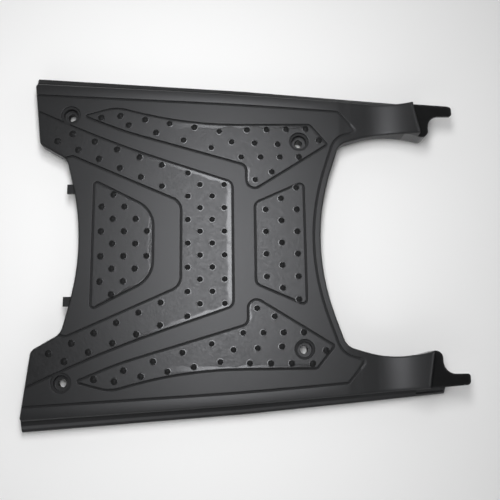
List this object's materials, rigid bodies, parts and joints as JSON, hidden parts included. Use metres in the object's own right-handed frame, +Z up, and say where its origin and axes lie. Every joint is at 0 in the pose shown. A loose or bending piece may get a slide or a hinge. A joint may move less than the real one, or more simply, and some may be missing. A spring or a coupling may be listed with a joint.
{
  "type": "scooter floor panel",
  "caption": "Moulded plastic scooter footboard with a studded grip deck, raised pads, flared side skirts, two rising rear arms and recessed bolt seats.",
  "frame": {"origin": "middle of the panel's box, on the level of the skirts' lower edges", "axes": "+X to the rear, towards the tongues of the arms; +Y to the rider's right; +Z up, out of the deck"},
  "size_m": [0.431, 0.362, 0.0419],
  "materials": {
    "panel_plastic": "satin dark grey moulded plastic with a fine grain"
  },
  "bodies": {
    "root": {"floor_panel": "panel_plastic"}
  },
  "joints": []
}
